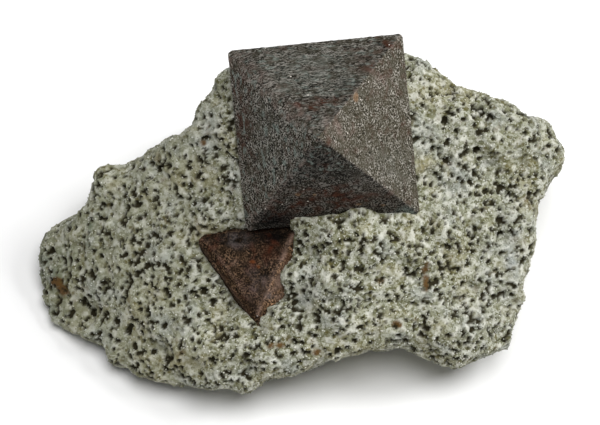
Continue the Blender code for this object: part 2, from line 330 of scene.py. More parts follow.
@dataclass(frozen=True)
class AlteredVolcanicRock:
    """Altered porous volcanic rock, freshly broken.

    Alteration has left pale grains like sugar, which scatter the light with hardly any gloss. The
    gas pores are lined with olive-brown clay, which gives their soft rims. The dark dots inside them
    are painted shade, darker the deeper a pore is sunk.
    """

    shadow_grain: str = "#5C5C3C"
    middle_grain: str = "#8F9079"
    pale_grain: str = "#B8B9AB"
    bright_grain: str = "#DEDED4"
    even_grain: str = "#9B9C86"
    # Painted shade inside the pores.
    pore: str = "#241F0A"
    pore_rim: str = "#565026"
    warm: str = "#9A9068"
    cool: str = "#A3A9AB"
    rust: str = "#583C13"
    # Greenish stains, and painted shade on the rock's far left end.
    moss_and_shade: str = "#4C5743"
    # The real grains are 0.2 to 0.4 mm wide. What breaks them up is finer than 0.1 mm, and is
    # drawn coarser so that it shows.
    grain: float = 0.36
    fine_grain: float = 0.16
    # Where the ramp from shadow to pale grain begins, turns and ends.
    ramp: tuple[float, float, float] = (0.28, 0.5, 0.78)
    # Dark spots too small to be carved: how far apart they lie, how wide and how dark they are.
    spot_spacing: float = 0.9
    spot_share: float = 0.16
    spot_strength: float = 0.85
    bump_height: float = 0.06
    roughness: float = 0.9
    gloss: float = 0.3
    grain_roughness: float = 0.85

    def material(self) -> bpy.types.Material:
        """Makes the finish of the rock's skin, which reads where its pores and stains lie.

        Returns:
            The material.
        """
        material, tree, shader = new_material("altered_volcanic_rock")
        place = add_node(tree, "ShaderNodeTexCoord").outputs["Object"]
        grains = add_node(
            tree, "ShaderNodeTexVoronoi", {"Vector": place, "Scale": per_metre(self.grain)}
        )
        shade = add_node(tree, "ShaderNodeSeparateColor", {"Color": grains.outputs["Color"]})
        sugar = add_node(
            tree, "ShaderNodeTexNoise",
            {"Vector": place, "Scale": per_metre(self.fine_grain), "Detail": 2.0},
        )
        both = add_node(
            tree, "ShaderNodeMath",
            {0: shade.outputs["Red"], 1: sugar.outputs["Fac"]}, operation="ADD",
        )
        half = add_node(tree, "ShaderNodeMath", {0: both.outputs[0], 1: 0.5}, operation="MULTIPLY")
        begins, turns, ends = self.ramp
        stone = add_node(
            tree, "ShaderNodeValToRGB", {"Fac": half.outputs[0]},
            stops=((begins, self.shadow_grain), (ends, self.pale_grain), (turns, self.middle_grain)),
        )
        colour = lay_tints(tree, stone.outputs["Color"], [("calm", self.even_grain)])
        cells = add_node(
            tree, "ShaderNodeTexVoronoi", {"Vector": place, "Scale": per_metre(self.spot_spacing)}
        )
        wide = add_node(
            tree, "ShaderNodeMath",
            {0: cells.outputs["Distance"], 1: sugar.outputs["Fac"]}, operation="MULTIPLY",
        )
        spots = add_node(
            tree, "ShaderNodeMapRange",
            {
                "Value": wide.outputs[0], 1: 0.5 * self.spot_share, 2: self.spot_share,
                3: self.spot_strength, 4: 0.0,
            },
        )
        colour = add_node(
            tree, "ShaderNodeMix",
            {0: spots.outputs[0], 6: colour, 7: linear(self.pore_rim)}, data_type="RGBA",
        ).outputs[2]
        # The pore tint is painted shade in the pits, and the moss tint also paints shade on the far left
        # end.
        tints = (
            ("warm", self.warm), ("cool", self.cool), ("moss_and_shade", self.moss_and_shade),
            ("bleached", self.bright_grain), ("rust", self.rust), ("rim", self.pore_rim),
            ("pore", self.pore),
        )
        bump = add_node(
            tree, "ShaderNodeBump",
            {"Height": half.outputs[0], "Distance": self.bump_height * MM, "Strength": 1.0},
        )
        tree.links.new(lay_tints(tree, colour, tints), shader.inputs["Base Color"])
        tree.links.new(bump.outputs["Normal"], shader.inputs["Normal"])
        shader.inputs["Roughness"].default_value = self.roughness
        shader.inputs["Specular IOR Level"].default_value = self.gloss
        return material

    def grain_material(self) -> bpy.types.Material:
        """Makes the finish of the grains that stand on the skin, each with its own paleness.

        Returns:
            The material.
        """
        material, tree, shader = new_material("sugary_grain")
        tone = add_node(tree, "ShaderNodeAttribute", attribute_name="tone")
        ramp = add_node(
            tree, "ShaderNodeValToRGB", {"Fac": tone.outputs["Fac"]},
            stops=(
                (0.0, self.shadow_grain), (1.0, self.bright_grain), (0.3, self.middle_grain),
                (0.75, self.pale_grain),
            ),
        )
        tints = (("warm", self.warm), ("cool", self.cool), ("rust", self.rust))
        colour = lay_tints(tree, ramp.outputs["Color"], tints)
        tree.links.new(colour, shader.inputs["Base Color"])
        shader.inputs["Roughness"].default_value = self.grain_roughness
        return material


@dataclass(frozen=True)
class DullMagnetite:
    """Dull magnetite as it grew: brown-black, submetallic and speckled, with rust-red hematite.

    Growth lines and a thin film break up its gloss, so a face that is turned to the light looks
    grey, and only the palest specks glint. The film also hides magnetite's high IOR: the shader
    keeps the default one, with little specular.
    """

    deep: str = "#0B0906"
    middle: str = "#3A362A"
    pale: str = "#99958D"
    red: str = "#422011"
    film: str = "#79837C"
    # Worn places, and the painted highlights along edges and painted light on a lit facet.
    worn: str = "#8C7C74"
    spot: str = "#866A50"
    # The colour of the painted glints.
    glint_colour: str = "#E4DCD2"
    # Real growth lines lie about 0.05 mm apart. They are drawn wider so that they show.
    striation: float = 0.13
    striation_length: float = 0.55
    # The crystallites that speckle a face are 0.1 to 0.2 mm wide, and lie in wider mottles.
    speck: float = 0.19
    mottle: float = 0.6
    mottle_share: float = 0.2
    # How wide the places are where the speckle is fainter or stronger, and how far it goes.
    unevenness: float = 1.3
    uneven_between: tuple[float, float] = (0.35, 0.65)
    faintest: float = 0.3
    strongest: float = 1.5
    # Where the ramp from deep to pale begins, turns and ends.
    ramp: tuple[float, float, float] = (0.34, 0.49, 0.67)
    # Painted glints, white specks in the colour: the size of their cells, the share that has one and its
    # radius.
    glint_spacing: float = 0.5
    glint_share: float = 0.025
    glint_radius: float = 0.17
    # How much of a film the dark and the pale specks take, and between which levels of speckle.
    film_on_dark: float = 0.4
    film_on_pale: float = 1.2
    film_between: tuple[float, float] = (0.4, 0.62)
    # The roughness of the dark and of the pale specks, which glint.
    dullest: float = 0.9
    glossiest: float = 0.35
    glint_between: tuple[float, float] = (0.48, 0.66)
    gloss: float = 0.1
    bump_height: float = 0.05

    def speckle(self, tree: bpy.types.NodeTree, place: bpy.types.NodeSocket) -> bpy.types.NodeSocket:
        """Adds the streaks along each face's outer edge, the specks and the mottles.

        Args:
            tree: the material's node tree.
            place: the place on the crystal.

        Returns:
            How bright they are, about 0.5 on average.
        """
        on_face = add_node(tree, "ShaderNodeUVMap", uv_map="face").outputs["UV"]
        stretched = add_node(
            tree, "ShaderNodeMapping",
            {"Vector": on_face, "Scale": (1 / self.striation_length, 1 / self.striation, 1.0)},
        )
        streaks = add_node(
            tree, "ShaderNodeTexNoise",
            {"Vector": stretched.outputs[0], "Scale": 1.0, "Detail": 1.0, "Distortion": 1.5},
        )
        specks, mottles, unevenness = (
            add_node(
                tree, "ShaderNodeTexNoise",
                {"Vector": place, "Scale": per_metre(size), "Detail": detail},
            ).outputs["Fac"]
            for size, detail in ((self.speck, 1.0), (self.mottle, 2.0), (self.unevenness, 2.0))
        )
        streaked, contrast = (
            add_node(tree, "ShaderNodeAttribute", attribute_name=name).outputs["Fac"]
            for name in ("streaked", "contrast")
        )
        fine = add_node(tree, "ShaderNodeMix", {0: streaked, 2: specks, 3: streaks.outputs["Fac"]})
        mixed = add_node(tree, "ShaderNodeMix", {0: self.mottle_share, 2: fine.outputs[0], 3: mottles})
        low, high = self.uneven_between
        strength = add_node(
            tree, "ShaderNodeMapRange",
            {"Value": unevenness, 1: low, 2: high, 3: self.faintest, 4: self.strongest},
        )
        swing = add_node(
            tree, "ShaderNodeMath", {0: strength.outputs[0], 1: contrast}, operation="MULTIPLY"
        )
        centred = add_node(tree, "ShaderNodeMath", {0: mixed.outputs[0], 1: -0.5}, operation="ADD")
        return add_node(
            tree, "ShaderNodeMath", {0: centred.outputs[0], 1: swing.outputs[0], 2: 0.5},
            operation="MULTIPLY_ADD",
        ).outputs[0]

    def painted_glints(self, tree: bpy.types.NodeTree, place: bpy.types.NodeSocket) -> bpy.types.NodeSocket:
        """Paints the few glints, as white specks in the colour.

        Args:
            tree: the material's node tree.
            place: the place on the crystal.

        Returns:
            1 on a painted glint, and 0 elsewhere.
        """
        cells = add_node(
            tree, "ShaderNodeTexVoronoi", {"Vector": place, "Scale": per_metre(self.glint_spacing)}
        )
        pick = add_node(tree, "ShaderNodeSeparateColor", {"Color": cells.outputs["Color"]})
        rare = add_node(
            tree, "ShaderNodeMath", {0: pick.outputs["Red"], 1: 1 - self.glint_share},
            operation="GREATER_THAN",
        )
        near = add_node(
            tree, "ShaderNodeMath", {0: cells.outputs["Distance"], 1: self.glint_radius},
            operation="LESS_THAN",
        )
        return add_node(
            tree, "ShaderNodeMath", {0: rare.outputs[0], 1: near.outputs[0]}, operation="MULTIPLY"
        ).outputs[0]

    def material(self, name: str) -> bpy.types.Material:
        """Makes the finish of one crystal, which reads where its films and tones lie. The tones carry
        painted light and shade, and glints are painted as white specks.

        Args:
            name: the material's name.

        Returns:
            The material.
        """
        material, tree, shader = new_material(name)
        place = add_node(tree, "ShaderNodeTexCoord").outputs["Object"]
        speckle = self.speckle(tree, place)
        begins, turns, ends = self.ramp
        metal = add_node(
            tree, "ShaderNodeValToRGB", {"Fac": speckle},
            stops=((begins, self.deep), (ends, self.pale), (turns, self.middle)),
        )
        # The tone scales the colour with painted light and shade.
        tone = add_node(tree, "ShaderNodeAttribute", attribute_name="tone")
        toned = add_node(
            tree, "ShaderNodeVectorMath",
            {0: metal.outputs["Color"], "Scale": tone.outputs["Fac"]}, operation="SCALE",
        )
        low, high = self.film_between
        film_share = add_node(
            tree, "ShaderNodeMapRange",
            {"Value": speckle, 1: low, 2: high, 3: self.film_on_dark, 4: self.film_on_pale},
        )
        # The worn tint also paints highlights along edges and light on a lit facet, and the film tint
        # paints light in one place.
        tints = (("red", self.red), ("film", self.film), ("worn", self.worn), ("spot", self.spot))
        colour = lay_tints(tree, toned.outputs[0], tints, film_share.outputs[0])
        glinted = add_node(
            tree, "ShaderNodeMix",
            {0: self.painted_glints(tree, place), 6: colour, 7: linear(self.glint_colour)}, data_type="RGBA",
        )
        bump = add_node(
            tree, "ShaderNodeBump",
            {"Height": speckle, "Distance": self.bump_height * MM, "Strength": 1.0},
        )
        low, high = self.glint_between
        dull = add_node(
            tree, "ShaderNodeMapRange",
            {"Value": speckle, 1: low, 2: high, 3: self.dullest, 4: self.glossiest},
        )
        tree.links.new(glinted.outputs[2], shader.inputs["Base Color"])
        tree.links.new(bump.outputs["Normal"], shader.inputs["Normal"])
        tree.links.new(dull.outputs[0], shader.inputs["Roughness"])
        shader.inputs["Specular IOR Level"].default_value = self.gloss
        return material


class Facet(Enum):
    """The four faces of a crystal that share the corner nearest the viewer."""

    TOP = (1, 1)
    LEFT = (-1, 1)
    BOTTOM = (-1, -1)
    RIGHT = (1, -1)


class Pattern(IntEnum):
    """Offsets that give each noise on a crystal a pattern of its own."""

    EDGES = 4
    CUTS = 6
    SWELLS = 9
    CHIPS = 14
    BLOTCHES = 21


@dataclass(frozen=True)
class Cut:
    """A plane that cuts off an edge: its direction and distance, its tone, which paints light and shade on
    its face, and its rim's paleness, which is wear and a painted highlight along its edge.
    """

    outward: tuple[float, float, float]
    distance: float
    tone: float
    rim: float

    def direction(self) -> np.ndarray:
        """Returns the outward direction, of length 1."""
        return np.array(self.outward) / np.linalg.norm(self.outward)

    def above(self, own: np.ndarray) -> np.ndarray:
        """Returns how far each place lies outside the plane."""
        return own @ self.direction() - self.distance


@dataclass(frozen=True)
class Flecks:
    """Pale flecks on one face: their width, their height, their strength and where they begin."""

    facet: Facet
    width: float
    height: float
    strength: float
    from_share: float = 0.0


@dataclass
class Octahedron:
    """An octahedral crystal with striated faces, growth steps and slightly worn edges.

    Its own frame has its corners on the axes. place sets that frame in the frame of the face.
    """

    name: str
    edge: float
    place: Matrix
    red_patches: Sequence[Patch]
    film_and_light_patches: Sequence[Patch]
    shade_and_dark_patches: Sequence[Patch]
    spot_patches: Sequence[Patch]
    wear_and_light_patches: Sequence[Patch]
    # How much of the corners on each axis is lost, and the radius of the edges.
    blunt: tuple[float, float, float]
    wear: float
    # How many parts the mesh cuts each edge into.
    cells: int
    finish: DullMagnetite
    # How much lighter or darker each face is painted for the light that falls on it: painted light and
    # shade.
    painted_face_light: dict[Facet, float] = field(default_factory=dict)
    face_streaks: dict[Facet, float] = field(default_factory=dict)
    face_contrast: dict[Facet, float] = field(default_factory=dict)
    # How pale the rounded edges are: wear, and a painted highlight along them.
    edge_wear_and_highlight: float = 0.25
    # More radius for a ridge at the front, by the side that it runs to.
    ridge_wear: dict[tuple[int, int], float] = field(default_factory=dict)
    flecks: Sequence[Flecks] = ()
    cuts: Sequence[Cut] = ()
    # The step's height, its share of the top face's height, and its line's waves.
    growth_step: float = 0.0
    growth_step_at: float = 0.59
    growth_step_wave: tuple[float, float] = (2.5, 0.5)
    # The growth lines, coarse and fine: their length, their spacing and their share of the height.
    growth_lines: Sequence[tuple[float, float, float]] = ((3.2, 0.55, 1.0), (1.4, 0.3, 0.6))
    striation_height: float = 0.035
    pit: float = 0.6
    pit_height: float = 0.02
    swell: float = 4.0
    swell_height: float = 0.05
    # How far from an edge the relief begins to fade, and the roughness of a cut.
    relief_margin: float = 0.6
    cut_roughness: float = 0.08
    # How unevenly the edges are rounded: each noise's size, strength and layers, and the chips'.
    edge_noises: Sequence[tuple[float, float, int]] = ((1.3, 0.8, 2), (0.5, 0.8, 1))
    chip: float = 0.6
    chip_strength: float = 1.2
    least_rounding: float = 0.3
    seed: float = 0.0

    @property
    def corner(self) -> float:
        """Returns how far a corner lies from the middle."""
        return self.edge / math.sqrt(2)

    @property
    def face_height(self) -> float:
        """Returns the height of a triangular face."""
        return self.edge * math.sqrt(3) / 2

    def own_places(self, points: np.ndarray) -> np.ndarray:
        """Turns places in the frame of the face to the crystal's own frame."""
        return apply_matrix(self.place.inverted(), points)

    def sharp_distance(self, own: np.ndarray) -> np.ndarray:
        """Returns how far each place lies outside the whole, sharp octahedron."""
        return (np.abs(own).sum(axis=1) - self.corner) / math.sqrt(3)

    def surface_distance(self, points: np.ndarray) -> np.ndarray:
        """Returns how far each place in the frame of the face lies outside the crystal's planes."""
        own = self.own_places(points)
        return np.max([self.sharp_distance(own), *(cut.above(own) for cut in self.cuts)], axis=0)

    def outward(self, points: np.ndarray) -> np.ndarray:
        """Finds the direction out of the crystal's nearest plane.

        Args:
            points: places in the frame of the face.

        Returns:
            A direction of length 1 for each place, in the frame of the face.
        """
        own = self.own_places(points)
        directions = np.sign(own) / math.sqrt(3)
        distance = self.sharp_distance(own)
        for cut in self.cuts:
            nearer = cut.above(own) > distance
            directions[nearer] = cut.direction()
            distance = np.maximum(distance, cut.above(own))
        turned = directions @ np.array(self.place)[:3, :3].T
        return turned / np.linalg.norm(turned, axis=1)[:, None]

    def facet_grid(self, own: np.ndarray) -> tuple[np.ndarray, np.ndarray, np.ndarray]:
        """Finds where each place lies on its face.

        Args:
            own: places in the crystal's own frame.

        Returns:
            The distance along the waist edge, the distance from it, and the face's number.
        """
        size = np.abs(own)
        along = (size[:, 1] - size[:, 0]) / self.corner * self.edge / 2
        from_waist = size[:, 2] / self.corner * self.face_height
        number = (own[:, 0] > 0) * 1.0 + (own[:, 1] > 0) * 2.0 + (own[:, 2] > 0) * 4.0
        return along, from_waist, number

    def on_facet(self, own: np.ndarray, facet: Facet) -> np.ndarray:
        """Returns whether each place lies on one of the four faces towards the viewer."""
        x_side, y_side = facet.value
        return (own[:, 0] * x_side > 0) & (own[:, 1] * y_side > 0) & (own[:, 2] > 0)

    def relief(self, own: np.ndarray) -> np.ndarray:
        """Works out how far each place of the surface stands out or lies sunk.

        Args:
            own: places on the sharp octahedron, in the crystal's own frame.

        Returns:
            The heights, negative where the surface is sunk.
        """
        along, from_waist, number = self.facet_grid(own)
        level = np.zeros(len(own))
        for layer, (length, spacing, share) in enumerate(self.growth_lines):
            # Each face and each layer takes its lines from another slice of the noise.
            pattern = number * 7.3 + self.seed + layer * 3.1
            lines = np.stack([along / length, from_waist / spacing, pattern], axis=1)
            level += self.striation_height * share * sample_noise(lines, 1.0)
        level += self.pit_height * sample_noise(own, self.pit, 2, self.seed)
        level += self.swell_height * sample_noise(own, self.swell, 1, self.seed + Pattern.SWELLS)
        level -= self.growth_step * smoothstep(-0.1, 0.1, self.past_step(own))
        to_edge = np.abs(own).min(axis=1) * math.sqrt(1.5)
        return level * smoothstep(0.0, self.relief_margin, to_edge)

    def past_step(self, own: np.ndarray) -> np.ndarray:
        """Works out how far each place of the top face lies past its growth step.

        Args:
            own: places on the sharp octahedron, in the crystal's own frame.

        Returns:
            The distances, and one far short of the step on the other faces.
        """
        along, from_waist, number = self.facet_grid(own)
        length, height = self.growth_step_wave
        line = np.stack([along / length, number + self.seed, number], axis=1)
        past = from_waist - self.growth_step_at * self.face_height - height * sample_noise(line, 1.0)
        return np.where(self.on_facet(own, Facet.TOP), past, -self.edge)

    def rounding(self, own: np.ndarray) -> np.ndarray:
        """Works out how deep each place is sunk where an edge is rounded.

        Args:
            own: places on the sharp octahedron, in the crystal's own frame.

        Returns:
            The depths.
        """
        uneven = np.ones(len(own))
        for layer, (size, strength, octaves) in enumerate(self.edge_noises):
            uneven += strength * sample_noise(own, size, octaves, self.seed + Pattern.EDGES + layer)
        chips = sample_noise(own, self.chip, 1, self.seed + Pattern.CHIPS)
        uneven += self.chip_strength * smoothstep(0.35, 0.6, chips)
        depth = np.zeros(len(own))
        for axis in range(3):
            radius = self.wear * np.clip(uneven, self.least_rounding, None)
            for (x_side, y_side), more in self.ridge_wear.items():
                if axis == (1 if x_side else 0):
                    along = own[:, 0] * x_side + own[:, 1] * y_side
                    radius += more * smoothstep(0.2, 3.0, along) * (own[:, 2] > 0)
            inside = np.clip(radius / math.sqrt(2) - np.abs(own[:, axis]) * math.sqrt(1.5), 0, None)
            depth += inside**2 / (2 * radius)
        return depth

    def worn(self, own: np.ndarray, level: np.ndarray) -> np.ndarray:
        """Moves the places onto the worn surface.

        Args:
            own: places on the sharp octahedron, in the crystal's own frame.
            level: how far each stands out.

        Returns:
            The places with the edges rounded, the cuts made and the corners blunted.
        """
        normals = np.sign(np.where(np.abs(own) < ON_EDGE, 0, own))
        normals /= np.linalg.norm(normals, axis=1)[:, None]
        places = own + normals * (level - self.rounding(own))[:, None]
        for cut in self.cuts:
            rough = self.cut_roughness * sample_noise(own, 1.1, 2, self.seed + Pattern.CUTS)
            above = cut.above(places) - rough
            places -= cut.direction() * np.clip(above, 0, None)[:, None]
        uneven = 1 + 0.3 * sample_noise(own, 0.8, 1, self.seed)
        limit = self.corner - np.outer(uneven, self.blunt)
        return np.clip(places, -limit, limit)

    def mesh(self) -> bpy.types.Mesh:
        """Models the crystal in its place in the world, with its UV map and tints.

        Returns:
            The mesh.
        """
        # A sphere of four segments and two rings is an octahedron.
        bm = bmesh.new()
        bmesh.ops.create_uvsphere(bm, u_segments=4, v_segments=2, radius=self.corner)
        bmesh.ops.subdivide_edges(bm, edges=bm.edges[:], cuts=self.cells - 1, use_grid_fill=True)
        mesh = bpy.data.meshes.new(self.name)
        bm.to_mesh(mesh)
        bm.free()
        own = read_vectors(mesh.vertices, "co")
        self.lay_uv(mesh, own)
        on_face = apply_matrix(self.place, self.worn(own, self.relief(own)))
        self.tint_tones(mesh, own, on_face)
        self.tint_films_and_highlights(mesh, own, on_face)
        move_vertices(mesh, to_world(on_face))
        mesh.shade_smooth()
        mesh.set_sharp_from_angle(angle=math.radians(28))
        return mesh

    def lay_uv(self, mesh: bpy.types.Mesh, own: np.ndarray) -> None:
        """Gives each face a UV map in millimetres: along its waist edge, and up from it.

        Args:
            mesh: the crystal's mesh.
            own: its vertices, in the crystal's own frame.
        """
        layer = mesh.uv_layers.new(name="face")
        along, from_waist, _ = self.facet_grid(own)
        loops = np.zeros(len(mesh.loops), np.int32)
        mesh.loops.foreach_get("vertex_index", loops)
        totals = np.zeros(len(mesh.polygons), np.int32)
        mesh.polygons.foreach_get("loop_total", totals)
        number = np.repeat(self.facet_grid(read_vectors(mesh.polygons, "center"))[2], totals)
        # The faces lie well apart in the map, so that no two show the same streaks.
        uv = np.stack([along[loops] + 40 * number, from_waist[loops] + 25 * number], axis=1)
        layer.data.foreach_set("uv", uv.astype(np.float32).ravel())

    def per_facet(self, own: np.ndarray, values: dict[Facet, float], elsewhere: float) -> np.ndarray:
        """Gives each place the value of its facet.

        Args:
            own: places in the crystal's own frame.
            values: the facets' values.
            elsewhere: the value on the other faces.

        Returns:
            The values.
        """
        levels = np.full(len(own), elsewhere)
        for facet, value in values.items():
            levels[self.on_facet(own, facet)] = value
        return levels

    def tint_tones(self, mesh: bpy.types.Mesh, own: np.ndarray, on_face: np.ndarray) -> None:
        """Stores how light, how streaked and how speckled the crystal is. Its lightness is painted light
        and shade: each face's and each cut's, a shadow along the growth step and the shade patches.

        Args:
            mesh: its mesh.
            own: its vertices on the sharp octahedron, in its own frame.
            on_face: its vertices, in the frame of the rock's face.
        """
        # Painted light and shade: each face lighter or darker as the light falls on it.
        tone = self.per_facet(own, self.painted_face_light, 1.0)
        for cut in self.cuts:
            # Painted light and shade on each cut face.
            tone[cut.above(own) > 0] = cut.tone
        if self.growth_step:
            # A painted shadow along the growth step.
            tone *= 1 - 0.55 * bell(0.12, self.past_step(own))
        # Painted shade where the patches lie, mostly the shadow of the large crystal.
        tone *= 1 - np.clip(patch_weights(self.shade_and_dark_patches, on_face) * self.front(own), 0, 0.95)
        set_attribute(mesh, "tone", tone)
        set_attribute(mesh, "streaked", self.per_facet(own, self.face_streaks, 0.3))
        set_attribute(mesh, "contrast", self.per_facet(own, self.face_contrast, 1.0))

    def tint_films_and_highlights(self, mesh: bpy.types.Mesh, own: np.ndarray, on_face: np.ndarray) -> None:
        """Stores where the red and the pale films, the worn places and the orange spots lie. The worn
        places also hold painted highlights along the rounded edges and the cut rims, and painted light on
        a lit facet.

        Args:
            mesh: its mesh.
            own: its vertices on the sharp octahedron, in its own frame.
            on_face: its vertices, in the frame of the rock's face.
        """
        blotch = sample_noise(own, 1.1, 3, self.seed + Pattern.BLOTCHES)
        red, film, spot, worn = (
            patch_weights(patches, on_face) * self.front(own)
            for patches in (self.red_patches, self.film_and_light_patches, self.spot_patches, self.wear_and_light_patches)
        )
        if self.growth_step:
            red = np.maximum(red, 0.6 * bell(0.5, self.past_step(own) - 0.6))
        everywhere = 0.4 * smoothstep(0.15, 0.6, blotch)
        set_attribute(mesh, "red", np.clip(red * (0.7 + 1.1 * blotch) + everywhere, 0, 1))
        # Wear and a painted highlight along the rounded edges and the cut rims.
        rounded = smoothstep(0.0, 0.05, self.rounding(own))
        worn = np.maximum(worn, self.edge_wear_and_highlight * rounded * self.front(own))
        for cut in self.cuts:
            worn = np.maximum(worn, cut.rim * bell(0.22, cut.above(own)))
        set_attribute(mesh, "worn", np.clip(worn * (0.7 + 1.2 * blotch), 0, 1))
        film *= 0.6 + 1.2 * blotch
        height_share = self.facet_grid(own)[1] / self.face_height
        for flecks in self.flecks:
            cells = on_face / (flecks.width, flecks.height, 1.0)
            shapes = smoothstep(0.25, 0.45, sample_noise(cells, 1.0, 1, self.seed + flecks.width))
            begun = smoothstep(flecks.from_share - 0.1, flecks.from_share + 0.1, height_share)
            here = self.on_facet(own, flecks.facet)
            film = np.maximum(film, flecks.strength * shapes * begun * here)
        set_attribute(mesh, "film", np.clip(film, 0, 1))
        set_attribute(mesh, "spot", 0.85 * smoothstep(0.25, 0.7, spot * (1 + 0.5 * blotch)))

    def front(self, own: np.ndarray) -> np.ndarray:
        """Returns 1 on the half towards the viewer and 0 on the other, with a soft change."""
        return smoothstep(-0.5, 0.5, own[:, 2])

    def build(self) -> bpy.types.Object:
        """Adds the crystal in place of its solid.

        Returns:
            The piece.
        """
        material = self.finish.material(f"{self.name}_magnetite")
        piece = add_piece(f"{self.name}_faces", self.mesh(), material)
        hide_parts(self.name)
        return piece


def large_place() -> Matrix:
    """Sets the large crystal, whose front corner points almost at the viewer.

    Returns:
        The matrix from its own frame to the frame of the face.
    """
    front_corner = Vector((-0.75, -1.1, 14.8))
    height_stretch = 1.033
    turn = Matrix.Rotation(math.radians(5.6), 4, "Z")
    lean = Vector((0, 0, 1)).rotation_difference(front_corner).to_matrix().to_4x4()
    stretch = Matrix.Diagonal((1, height_stretch, 1, 1))
    return lean @ turn @ stretch @ Matrix.Rotation(math.radians(45), 4, "Z")


def small_place(edge: float) -> Matrix:
    """Sets the small crystal, one whole face forward.

    Args:
        edge: the length of its edges.

    Returns:
        The matrix from its own frame to the frame of the face.
    """
    face_middle = Vector((-7.81, -15.86, -1.2))
    left_corner_at = math.radians(155.8)
    tilt = Matrix.Rotation(math.radians(-8), 4, "Y")
    face_out = Vector((1, 1, 1)).normalized()
    square_on = face_out.rotation_difference(Vector((0, 0, 1))).to_matrix().to_4x4()
    corner = square_on @ Vector((1, 0, 0))
    turn = Matrix.Rotation(left_corner_at - math.atan2(corner.y, corner.x), 4, "Z")
    middle = face_middle - tilt @ Vector((0, 0, edge / math.sqrt(6)))
    return Matrix.Translation(middle) @ tilt @ turn @ square_on


@dataclass(frozen=True)
class Hole:
    """A large pore with a place of its own, in the frame of the rock's face."""

    u: float
    v: float
    radius: float


